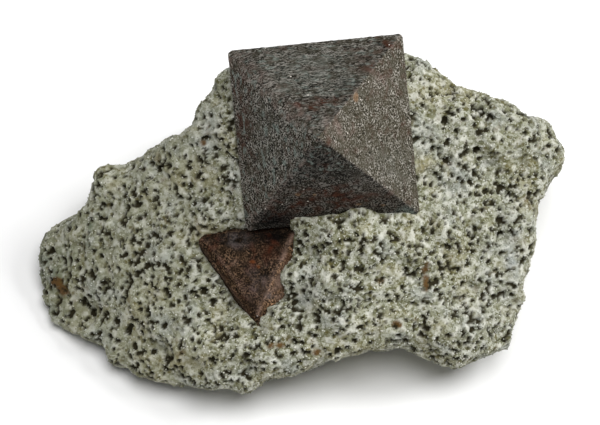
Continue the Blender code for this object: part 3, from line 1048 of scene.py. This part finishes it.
@dataclass
class PorousRock:
    """The rock: one closed skin with lumps, grain and carved pores, closing on the crystals."""

    crystals: Sequence[Octahedron]
    rust_patches: Sequence[Patch]
    moss_and_shade_patches: Sequence[Patch]
    warm_patches: Sequence[Patch]
    cool_patches: Sequence[Patch]
    sound_patches: Sequence[Patch]
    holes: Sequence[Hole]
    # The mesh's cells, which are halved where the surface faces out by more than outward_least
    # and lies further than socket_reach from a crystal.
    voxel: float = 0.5
    outward_least: float = 0.25
    socket_reach: float = 0.55
    # How far the skin is drawn in beside a crystal, and at what distances that ends and the
    # lumps and pores begin.
    draw_in: float = 0.4
    drawn_between: tuple[float, float] = (0.45, 1.0)
    free_between: tuple[float, float] = (0.3, 0.9)
    lump: float = 1.7
    lump_height: float = 0.2
    clump: float = 0.8
    clump_height: float = 0.2
    # The pores: how many there are to a square millimetre, their least and greatest radius, and
    # how far their lobes stray and how deep they are, both in radii.
    pores_per_area: float = 1.6
    pore_radius: tuple[float, float] = (0.14, 0.37)
    lobe_spread: float = 0.35
    pore_depth: float = 1.5
    # How near the skin's highest vertex is sought for the middle of a pore with its own place.
    hole_search: float = 0.4
    # The depth that shows as a rim, and the depths at which the painted shade inside begins and is full.
    rim_depth: float = 0.08
    dark_between: tuple[float, float] = (0.06, 0.24)
    # The part of the rock with the calmer grain, from where it begins to where it is full.
    calm_from: float = -8.0
    calm_to: float = -20.0
    calm_widening: float = 0.12
    calm_skipped: float = 0.1
    seed: int = 7

    def blank(self) -> bpy.types.Mesh:
        """Makes an even, closed mesh of the rock's solid, finer on the side that faces out.

        Returns:
            The mesh.
        """
        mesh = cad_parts["matrix"].data.copy()
        bm = bmesh.new()
        bm.from_mesh(mesh)
        bmesh.ops.remove_doubles(bm, verts=bm.verts, dist=0.001 * MM)
        bm.to_mesh(mesh)
        bm.free()
        obj = bpy.data.objects.new("blank", mesh)
        bpy.context.scene.collection.objects.link(obj)
        even = obj.modifiers.new("even mesh", "REMESH")
        even.mode = "VOXEL"
        even.voxel_size = self.voxel * MM
        mesh = apply_modifiers(obj)
        bm = bmesh.new()
        bm.from_mesh(mesh)
        bm.normal_update()
        outward = FACE.to_3x3() @ Vector((0, 0, 1))
        near = [
            face for face in bm.faces
            if face.normal.dot(outward) > self.outward_least and not self.hidden(face)
        ]
        edges = list({edge for face in near for edge in face.edges})
        bmesh.ops.subdivide_edges(bm, edges=edges, cuts=1, use_grid_fill=True)
        bmesh.ops.triangulate(bm, faces=[face for face in bm.faces if len(face.verts) > 4])
        bm.to_mesh(mesh)
        bm.free()
        mesh.update()
        return mesh

    def hidden(self, face: bmesh.types.BMFace) -> bool:
        """Returns whether a face lies inside a crystal's socket."""
        place = to_face(np.array([face.calc_center_median()]))
        return any(crystal.surface_distance(place)[0] < self.socket_reach for crystal in self.crystals)

    def close_sockets(self, places: np.ndarray) -> tuple[np.ndarray, np.ndarray]:
        """Draws the socket walls in onto the crystals.

        Args:
            places: the vertices, in the frame of the face.

        Returns:
            The new places, and how free of a socket each is, from 0 to 1.
        """
        free = np.ones(len(places))
        for crystal in self.crystals:
            distance = crystal.surface_distance(places)
            drawn = 1 - smoothstep(*self.drawn_between, distance)
            places = places - crystal.outward(places) * (self.draw_in * drawn)[:, None]
            free = np.minimum(free, smoothstep(*self.free_between, distance))
        return places, free

    def calmness(self, places: np.ndarray) -> np.ndarray:
        """Returns how calm the rock's grain is: its left part has slightly wider, rarer pores."""
        return smoothstep(self.calm_from, self.calm_to, places[:, 0])

    def carve_pores(self, mesh: bpy.types.Mesh, places: np.ndarray, free: np.ndarray) -> np.ndarray:
        """Works out how deep each vertex is sunk by pores.

        Args:
            mesh: the skin's mesh.
            places: its vertices, in the frame of the face.
            free: how free of a socket each is, from 0 to 1.

        Returns:
            The depths in millimetres.
        """
        rng = np.random.default_rng(self.seed)
        mesh.calc_loop_triangles()
        corners = np.zeros(len(mesh.loop_triangles) * 3, np.int32)
        mesh.loop_triangles.foreach_get("vertices", corners)
        sides = places[corners.reshape(-1, 3)]
        areas = np.linalg.norm(
            np.cross(sides[:, 1] - sides[:, 0], sides[:, 2] - sides[:, 0]), axis=1
        ) / 2
        count = int(areas.sum() * self.pores_per_area)
        middles = sides[rng.choice(len(areas), count, p=areas / areas.sum())].mean(axis=1)
        tree = kdtree.KDTree(len(places))
        for index, place in enumerate(places):
            tree.insert(place, index)
        tree.balance()
        depth = np.zeros(len(places))
        least, most = self.pore_radius
        for middle, calmness in zip(middles, self.calmness(middles)):
            radius = least + (most - least) * rng.random() ** 1.6
            radius *= 1 + self.calm_widening * calmness
            if rng.random() < self.calm_skipped * calmness:
                continue
            for _ in range(rng.integers(1, 3)):
                lobe = middle + rng.normal(0, self.lobe_spread * radius, 3)
                self.sink(tree, depth, lobe, radius)
        depth *= free * (1 - patch_weights(self.sound_patches, places))
        for hole in self.holes:
            near = places[np.hypot(places[:, 0] - hole.u, places[:, 1] - hole.v) < self.hole_search]
            self.sink(tree, depth, near[near[:, 2].argmax()], hole.radius)
        return depth

    def sink(self, tree: kdtree.KDTree, depth: np.ndarray, middle: np.ndarray, radius: float) -> None:
        """Deepens the vertices round a pore's middle.

        Args:
            tree: the vertices' places.
            depth: how deep each vertex is sunk, which is changed.
            middle: the pore's middle.
            radius: its radius.
        """
        for place, index, away in tree.find_range(middle, radius * 1.4):
            reach = radius * (1 + 0.4 * noise.noise(place / 0.35))
            if away < reach:
                sunk = self.pore_depth * radius * (1 - (away / reach) ** 2) ** 0.6
                depth[index] = max(depth[index], sunk)

    def mesh(self) -> bpy.types.Mesh:
        """Models the skin in its place in the world, with its pores and stains stored.

        Returns:
            The mesh.
        """
        mesh = self.blank()
        solid = read_vectors(mesh.vertices, "co")
        normals = read_vectors(mesh.vertex_normals, "vector") @ np.array(FACE)[:3, :3]
        places, free = self.close_sockets(to_face(solid))
        level = self.lump_height * sample_noise(places, self.lump, 2)
        cells = np.array([noise.voronoi(Vector(place / self.clump))[0][0] for place in places])
        level += self.clump_height * (0.5 - cells)
        depth = self.carve_pores(mesh, places, free)
        final = to_world(places + normals * (level * free - depth)[:, None])
        # The flat that the rock rests on stays flat, and nothing comes below it.
        resting = smoothstep(0.5 * MM, 0.1 * MM, solid[:, 2])
        final[:, 2] = np.maximum(final[:, 2] * (1 - resting), 0.0)
        move_vertices(mesh, within_solids(final))
        self.tint_pores(mesh, depth)
        self.tint_stains(mesh, places)
        self.mark_grains(mesh, places, free * (depth < self.dark_between[0]))
        mesh.shade_smooth()
        return mesh

    def tint_pores(self, mesh: bpy.types.Mesh, depth: np.ndarray) -> None:
        """Stores where the pores and their rims lie: the dark inside a pore is painted shade, full where
        it is deepest.

        Args:
            mesh: the skin's mesh.
            depth: how deep each vertex is sunk.
        """
        # Painted shade: darker the deeper the skin is sunk.
        deep = smoothstep(*self.dark_between, depth)
        set_attribute(mesh, "pore", deep)
        set_attribute(mesh, "rim", 0.8 * smoothstep(0.0, self.rim_depth, depth) * (1 - deep))

    def tint_stains(self, mesh: bpy.types.Mesh, places: np.ndarray) -> None:
        """Stores where the stains, the bleached grains and the calmer stone lie. The moss stain also
        paints shade on the rock's far left end.

        Args:
            mesh: the skin's mesh.
            places: its vertices, in the frame of the face.
        """
        mottle = sample_noise(places, 1.5, 3, 5.0)
        rust = patch_weights(self.rust_patches, places) * (1 + 1.2 * mottle)
        everywhere = 0.35 * smoothstep(0.5, 0.8, sample_noise(places, 1.2, 3, 8.0))
        set_attribute(mesh, "rust", np.maximum(0.95 * smoothstep(0.2, 0.6, rust), everywhere))
        broad = sample_noise(places, 3.5, 3, 2.0)
        for name, patches, least in (
            ("moss_and_shade", self.moss_and_shade_patches, 0.0),
            ("warm", self.warm_patches, 0.25 * smoothstep(0.05, 0.6, broad)),
            ("cool", self.cool_patches, 0.3 * smoothstep(0.1, 0.7, -broad)),
        ):
            stain = patch_weights(patches, places) * (0.8 + 0.8 * mottle)
            set_attribute(mesh, name, np.clip(np.maximum(stain, least), 0, 1))
        bleached = 0.55 * smoothstep(0.05, 0.4, sample_noise(places, 0.75, 1, 15.0))
        calm = self.calmness(places)
        set_attribute(mesh, "bleached", bleached * (1 - 0.3 * calm))
        set_attribute(mesh, "calm", 0.4 * calm)

    def mark_grains(self, mesh: bpy.types.Mesh, places: np.ndarray, clear: np.ndarray) -> None:
        """Stores how densely the grains stand on the side that faces out and on the others.

        Args:
            mesh: the skin's mesh, whose attributes are named for the pieces of grains.
            places: its vertices, in the frame of the face.
            clear: how clear of sockets and pores each is.
        """
        density = clear * (1 - 0.5 * self.calmness(places))
        normals = read_vectors(mesh.vertex_normals, "vector")
        ahead = smoothstep(0.0, 0.2, normals @ np.array(FACE)[:3, 2])
        set_attribute(mesh, "face_grains", density * ahead)
        set_attribute(mesh, "back_grains", density * (1 - ahead))

    def build(self, finish: AlteredVolcanicRock) -> bpy.types.Object:
        """Adds the skin in place of the rock's solid.

        Args:
            finish: the rock's finish.

        Returns:
            The piece.
        """
        piece = add_piece("matrix_skin", self.mesh(), finish.material())
        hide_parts("matrix")
        return piece


@dataclass
class SugaryGrains:
    """Pale mineral grains that stand on the rock's skin, as one joined mesh."""

    name: str
    # How many stand on a square millimetre, and their least and greatest radius.
    per_area: float
    size: tuple[float, float]
    seed: int = 3

    def scatter_tree(self) -> bpy.types.NodeTree:
        """Makes the node group that sets small angular grains at random on the surface.

        Returns:
            The node group.
        """
        tree = bpy.data.node_groups.new(self.name, "GeometryNodeTree")
        tree.interface.new_socket("Geometry", in_out="INPUT", socket_type="NodeSocketGeometry")
        tree.interface.new_socket("Geometry", in_out="OUTPUT", socket_type="NodeSocketGeometry")
        start = add_node(tree, "NodeGroupInput")
        where = add_node(
            tree, "GeometryNodeInputNamedAttribute", {"Name": self.name}, data_type="FLOAT"
        )
        density = add_node(
            tree, "ShaderNodeMath",
            {0: where.outputs["Attribute"], 1: self.per_area / MM**2}, operation="MULTIPLY",
        )
        points = add_node(
            tree, "GeometryNodeDistributePointsOnFaces",
            {"Mesh": start.outputs[0], "Density": density.outputs[0], "Seed": self.seed},
            distribute_method="RANDOM",
        )
        grain = add_node(tree, "GeometryNodeMeshUVSphere", {"Radius": 1.0, "Segments": 4, "Rings": 2})
        turn = add_node(
            tree, "FunctionNodeRandomValue",
            {0: (0.0, 0.0, 0.0), 1: (math.tau, math.tau, math.tau)}, data_type="FLOAT_VECTOR",
        )
        low, high = (value * MM for value in self.size)
        scale = add_node(
            tree, "FunctionNodeRandomValue",
            {0: (low, low, low), 1: (high, high, high), "Seed": 1}, data_type="FLOAT_VECTOR",
        )
        placed = add_node(
            tree, "GeometryNodeInstanceOnPoints",
            {
                "Points": points.outputs["Points"], "Instance": grain.outputs["Mesh"],
                "Rotation": turn.outputs[0], "Scale": scale.outputs[0],
            },
        )
        tone = add_node(tree, "FunctionNodeRandomValue", {2: 0.0, 3: 1.0, "Seed": 2}, data_type="FLOAT")
        toned = add_node(
            tree, "GeometryNodeStoreNamedAttribute",
            {"Geometry": placed.outputs[0], "Name": "tone", "Value": tone.outputs[1]},
            data_type="FLOAT", domain="INSTANCE",
        )
        real = add_node(tree, "GeometryNodeRealizeInstances", {0: toned.outputs[0]})
        add_node(tree, "NodeGroupOutput", {0: real.outputs[0]})
        return tree

    def build(self, skin: bpy.types.Object, finish: AlteredVolcanicRock) -> bpy.types.Object:
        """Adds the grains that stand on the skin.

        Args:
            skin: the rock's skin.
            finish: the rock's finish.

        Returns:
            The piece.
        """
        obj = bpy.data.objects.new("scatter", skin.data)
        bpy.context.scene.collection.objects.link(obj)
        scatter = obj.modifiers.new("scatter", "NODES")
        scatter.node_group = self.scatter_tree()
        mesh = apply_modifiers(obj)
        move_vertices(mesh, within_solids(read_vectors(mesh.vertices, "co")))
        return add_piece(self.name, mesh, finish.grain_material())


@dataclass
class Studio:
    """A white table, a soft light overhead, one from the right, a pale room and the camera."""

    floor_size: float = 4.0
    floor_colour: str = "#FAFAFA"
    floor_roughness: float = 0.9
    room_light: float = 0.16
    camera_place: tuple[float, float, float] = (-2.8, -9.45, 300.0)
    # How much of the rock's face the picture's width takes in.
    picture_width: float = 70.8

    def floor(self) -> bpy.types.Object:
        """Adds the table's white top.

        Returns:
            The table top.
        """
        bm = bmesh.new()
        bmesh.ops.create_grid(bm, x_segments=1, y_segments=1, size=self.floor_size / 2)
        mesh = bpy.data.meshes.new("table_top")
        bm.to_mesh(mesh)
        bm.free()
        material, _, shader = new_material("white_card")
        shader.inputs["Base Color"].default_value = linear(self.floor_colour)
        shader.inputs["Roughness"].default_value = self.floor_roughness
        mesh.materials.append(material)
        obj = bpy.data.objects.new("table_top", mesh)
        bpy.context.scene.collection.objects.link(obj)
        return obj

    def softbox(
        self, name: str, towards: tuple[float, float, float], distance: float, size: float, power: float
    ) -> None:
        """Adds a round soft light that shines on the specimen.

        Args:
            name: the light's name.
            towards: the direction in which it stands, seen from the specimen.
            distance: how far away it stands, in metres.
            size: its width, in metres.
            power: its power, in watts.
        """
        light = bpy.data.lights.new(name, "AREA")
        light.shape = "DISK"
        light.size = size
        light.energy = power
        box = bpy.data.objects.new(name, light)
        direction = Vector(towards).normalized()
        box.location = FACE.translation + direction * distance
        box.rotation_euler = direction.to_track_quat("Z", "Y").to_euler()
        bpy.context.scene.collection.objects.link(box)

    def lights(self) -> None:
        """Adds the overhead light, the light from the right and the room's even light."""
        self.softbox("overhead", (0.1, -0.08, 1.0), distance=1.0, size=0.75, power=8.7)
        self.softbox("right", (0.72, 0.14, 0.68), distance=0.8, size=0.35, power=3.5)
        world = bpy.data.worlds.new("room")
        world.use_nodes = True
        background = world.node_tree.nodes["Background"]
        background.inputs["Color"].default_value = (1, 1, 1, 1)
        background.inputs["Strength"].default_value = self.room_light
        bpy.context.scene.world = world

    def camera(self) -> None:
        """Adds the camera, square onto the rock's face."""
        data = bpy.data.cameras.new("camera")
        data.sensor_width = 36
        data.lens = data.sensor_width / (self.picture_width / self.camera_place[2])
        data.clip_start = 0.01
        camera = bpy.data.objects.new("camera", data)
        camera.matrix_world = FACE @ Matrix.Translation(Vector(self.camera_place) * MM)
        bpy.context.scene.collection.objects.link(camera)
        bpy.context.scene.camera = camera

    def build(self) -> None:
        """Sets up the whole studio."""
        self.floor()
        self.lights()
        self.camera()
        bpy.context.scene.view_settings.view_transform = "Standard"


# Where the crystals are darker than the rest, as a share of their tone. Most of it is painted shadow:
# beneath the large crystal's lower left edge and on the small crystal under it, with other darker places.
LARGE_SHADE_AND_DARK = (
    Patch(-5.7, -10.3, 3.0, 1.3, 0.9),
    Patch(-0.7, -3.6, 2.6, 1.3, 0.6),
    Patch(-1.6, -4.6, 3.4, 1.2, 0.4),
    Patch(2.0, -4.9, 2.2, 0.8, 0.5),
    Patch(2.4, 5.4, 1.4, 0.9, 0.4),
    Patch(4.8, 8.1, 1.9, 1.0, 0.2),
    Patch(-1.2, 1.7, 2.2, 1.0, 0.38),
    Patch(7.1, 10.2, 1.2, 0.5, 0.3),
    Patch(-8.8, 8.0, 1.4, 2.0, 0.25),
)
SMALL_SHADE_AND_DARK = (
    Patch(-9.8, -12.9, 2.6, 1.0, 0.45),
    Patch(-6.8, -14.3, 1.6, 1.2, 0.3),
    Patch(-6.0, -12.4, 2.4, 1.1, 0.95),
    Patch(-5.8, -13.4, 1.3, 1.6, 0.6),
    Patch(-6.8, -16.9, 0.8, 0.9, 0.6),
    Patch(-7.0, -21.5, 1.3, 0.8, 0.5),
    Patch(-8.1, -20.6, 1.2, 0.9, 0.45),
)
# Where worn edges and knocks make them paler, and on the small crystal painted light on its brightly lit
# facet at the right.
LARGE_WORN = (
    Patch(0.2, 0.7, 0.45, 1.0, 0.7),
    Patch(1.4, -0.4, 1.2, 1.6, 0.35),
    Patch(5.5, -5.5, 2.6, 2.0, 0.15),
    Patch(6.4, 5.5, 1.2, 1.3, 0.25),
)
SMALL_WEAR_AND_LIGHT = (
    Patch(-5.0, -18.0, 1.2, 2.0, 1.2),
    Patch(-10.6, -15.4, 0.5, 0.5, 0.3),
)
# Spots of orange rust.
LARGE_SPOTS = (
    Patch(3.63, 3.70, 0.33, 0.6, 1.0),
    Patch(-3.0, -7.4, 0.5, 0.2, 0.8),
    Patch(-1.1, -7.4, 0.3, 0.2, 0.7),
    Patch(4.1, -8.5, 0.5, 0.2, 0.8),
    Patch(7.0, -8.6, 0.6, 0.2, 0.7),
)
SMALL_SPOTS = (
    Patch(-8.4, -15.3, 0.45, 0.25, 0.8),
    Patch(-7.7, -15.9, 0.3, 0.3, 0.7),
)
# Rust-red films of hematite, and grey ones, one of which is painted light.
LARGE_RED = (
    Patch(4.2, 7.5, 1.4, 0.8, 1.0),
    Patch(6.9, 6.7, 0.8, 0.8, 0.5),
    Patch(9.5, 0.24, 0.6, 0.9, 0.5),
    Patch(0.36, -1.5, 0.4, 0.4, 0.8),
    Patch(3.63, -2.39, 0.5, 0.4, 0.6),
    Patch(-10.3, 5.6, 0.5, 1.0, 0.8),
    Patch(-9.3, 2.0, 1.1, 5.0, 0.8),
    Patch(-8.7, -2.7, 0.6, 1.6, 0.5),
    Patch(-1.9, 2.9, 2.4, 0.5, 0.7),
    Patch(-1.1, 7.3, 1.8, 0.4, 0.6),
    Patch(7.8, 10.2, 1.2, 0.6, 0.5),
    Patch(2.0, -7.8, 6.5, 1.0, 0.85),
    Patch(-4.2, -9.0, 1.4, 1.2, 0.5),
)
LARGE_FILM_AND_LIGHT = (
    # Painted light, caught on the bottom face near its right corner.
    Patch(9.6, -9.4, 1.0, 0.6, 1.3),
    Patch(-1.0, 7.2, 5.0, 2.4, 0.35),
    Patch(7.5, -4.5, 3.0, 3.0, 0.22),
    Patch(-7.0, 0.0, 2.6, 6.0, 0.15),
    Patch(-5.0, 4.6, 1.0, 0.3, 0.7),
    Patch(-2.5, 0.2, 0.2, 0.7, 0.8),
    Patch(-3.6, 0.6, 0.4, 0.4, 0.6),
    Patch(0.5, 4.2, 3.0, 0.25, 0.5),
    Patch(-6.5, -2.6, 0.3, 1.2, 0.5),
    Patch(-2.8, -3.2, 0.5, 0.7, 0.6),
)
SMALL_RED = (
    Patch(-8.1, -15.5, 0.7, 0.5, 0.9),
    Patch(-6.4, -14.0, 1.1, 1.2, 0.5),
    Patch(-13.2, -13.5, 0.7, 0.5, 0.6),
    Patch(-9.0, -18.0, 1.6, 1.8, 0.25),
)
SMALL_FILM = (
    Patch(-8.0, -17.6, 1.6, 1.8, 0.5),
    Patch(-6.4, -19.4, 0.6, 0.5, 1.3),
    Patch(-10.3, -12.7, 1.4, 1.0, 0.8),
)
# Stains on the rock.
ROCK_RUST = (
    Patch(-31.4, -19.0, 1.0, 0.6, 1.3),
    Patch(-32.9, -18.0, 0.9, 0.5, 1.1),
    Patch(12.1, -17.0, 0.5, 1.6, 1.1),
    Patch(6.8, -17.5, 0.6, 0.5, 0.7),
    Patch(8.8, -22.6, 0.7, 0.6, 0.7),
    Patch(-0.7, -25.9, 0.7, 0.5, 0.7),
    Patch(-5.9, -25.2, 1.3, 0.6, 0.5),
    Patch(-17.3, -25.9, 1.2, 0.7, 0.4),
    Patch(-14.2, -19.2, 0.9, 0.8, 0.4),
    Patch(-12.2, -11.7, 2.0, 1.2, 0.35),
    Patch(-14.3, -1.1, 0.4, 0.5, 0.6),
)
ROCK_WARM = (
    Patch(11.7, -3.6, 1.3, 1.5, 0.6),
    Patch(-14.0, -12.0, 2.5, 1.2, 0.55),
    Patch(-17.0, -27.0, 5.0, 1.5, 0.4),
    Patch(4.0, -26.0, 4.0, 1.2, 0.4),
    Patch(-31.0, -19.0, 2.5, 2.5, 0.4),
    Patch(14.0, 5.5, 2.0, 1.5, 0.4),
)
ROCK_COOL = (
    Patch(15.6, -5.0, 2.2, 3.2, 0.5),
    Patch(22.5, -14.5, 1.6, 6.0, 0.5),
    Patch(-2.0, -19.0, 2.5, 3.0, 0.3),
    Patch(-14.0, 0.0, 1.8, 3.0, 0.5),
    Patch(17.0, -22.0, 3.0, 2.5, 0.4),
)
# Greenish stains; the first, wide patch is painted shade on the far left end, which the light reaches
# less.
ROCK_MOSS_AND_SHADE = (
    Patch(-33.0, -17.0, 5.5, 8.0, 0.45),
    Patch(2.5, -20.1, 1.2, 0.9, 0.8),
    Patch(-28.4, -11.8, 0.5, 1.8, 0.7),
)
# A ledge where few pores open.
ROCK_SOUND = (
    Patch(22.8, -3.4, 3.6, 1.3, 0.95),
)
# Large pores, and gaps beside the crystals, darkened inside with the pores' painted shade.
ROCK_HOLES = (
    Hole(17.5, -2.2, 0.45),
    Hole(18.4, -2.4, 0.5),
    Hole(17.3, -4.1, 0.45),
    Hole(18.4, -4.7, 0.55),
    Hole(17.9, -5.9, 0.4),
    Hole(14.9, -3.0, 0.45),
    Hole(21.7, -6.4, 0.5),
    Hole(14.5, 1.0, 0.45),
    Hole(18.4, 0.4, 0.4),
    Hole(-3.4, -13.1, 0.4),
    Hole(-3.5, -14.0, 0.45),
    Hole(-3.8, -15.0, 0.4),
    Hole(-6.5, -21.1, 0.45),
    Hole(-8.5, -22.5, 0.5),
    Hole(-14.3, -15.0, 0.5),
    Hole(-14.3, -19.2, 0.6),
    Hole(-4.0, -18.9, 0.35),
    Hole(-12.8, -20.3, 0.45),
    Hole(-3.1, -22.6, 0.5),
    Hole(-10.7, -2.2, 0.45),
    Hole(-10.5, -3.6, 0.45),
)


def crystals() -> tuple[Octahedron, Octahedron]:
    """Sizes and places both crystals.

    Returns:
        The large and the small crystal.
    """
    large = Octahedron(
        "large_crystal", 20.8, large_place(), LARGE_RED, LARGE_FILM_AND_LIGHT, LARGE_SHADE_AND_DARK, LARGE_SPOTS,
        LARGE_WORN, blunt=(0.35, 0.35, 0.12), wear=0.25, cells=140, finish=DullMagnetite(),
        growth_step=0.12,
        # Painted light and shade: the right face lightest and the bottom face darkest, as the light falls.
        painted_face_light={Facet.RIGHT: 1.32, Facet.TOP: 0.79, Facet.LEFT: 0.98, Facet.BOTTOM: 0.53},
        face_contrast={Facet.RIGHT: 0.72, Facet.TOP: 1.9, Facet.LEFT: 2.1, Facet.BOTTOM: 2.6},
        face_streaks={Facet.RIGHT: 0.0, Facet.TOP: 0.85, Facet.LEFT: 0.15, Facet.BOTTOM: 0.3},
        ridge_wear={(0, 1): 2.2, (-1, 0): 1.0, (1, 0): 0.15},
        flecks=(
            Flecks(Facet.LEFT, 0.45, 0.95, 0.8), Flecks(Facet.TOP, 0.9, 0.3, 0.5),
            Flecks(Facet.BOTTOM, 0.5, 0.45, 0.8, 0.6),
        ),
    )
    small_edge = 14.0
    small = Octahedron(
        "small_crystal", small_edge, small_place(small_edge), SMALL_RED, SMALL_FILM, SMALL_SHADE_AND_DARK,
        SMALL_SPOTS, SMALL_WEAR_AND_LIGHT, blunt=(0.35, 0.35, 0.35), wear=0.22, cells=100, seed=31.0,
        # Each cut's tone paints light and shade on its face: the first is painted brightly lit, the second
        # shaded. Each rim paints a highlight along the cut's edge, with wear.
        cuts=(
            Cut((0, 1, 1), 6.0, 2.6, 0.6), Cut((1, 0, 1), 6.38, 0.5, 0.0),
            Cut((1, 1, 0), 6.5, 1.15, 0.22),
        ),
        edge_wear_and_highlight=0.05,
        # Painted light: the side face on the right, lit from the right, is painted lighter.
        painted_face_light={Facet.LEFT: 1.7},
        face_contrast={Facet.TOP: 1.1, Facet.LEFT: 1.1},
        finish=DullMagnetite(
            deep="#080502", middle="#251A0F", pale="#725943", red="#461F0D", film="#585352",
            worn="#8A7264", spot="#6B3A1A",
        ),
    )
    return large, small


def main() -> None:
    """Builds the studio, the crystals, the rock and its grains."""
    logging.basicConfig(level=logging.INFO, format="%(name)s: %(message)s")
    Studio().build()
    both = crystals()
    rock_finish = AlteredVolcanicRock()
    rock = PorousRock(
        both, ROCK_RUST, ROCK_MOSS_AND_SHADE, ROCK_WARM, ROCK_COOL, ROCK_SOUND, ROCK_HOLES
    )
    pieces = [crystal.build() for crystal in both]
    skin = rock.build(rock_finish)
    pieces.append(skin)
    pieces.append(SugaryGrains("face_grains", 7.0, (0.07, 0.17)).build(skin, rock_finish))
    pieces.append(SugaryGrains("back_grains", 4.0, (0.08, 0.2)).build(skin, rock_finish))
    for piece in pieces:
        LOG.info("%s: %d triangles", piece.name, triangles(piece.data))


if __name__ == "__main__":
    main()
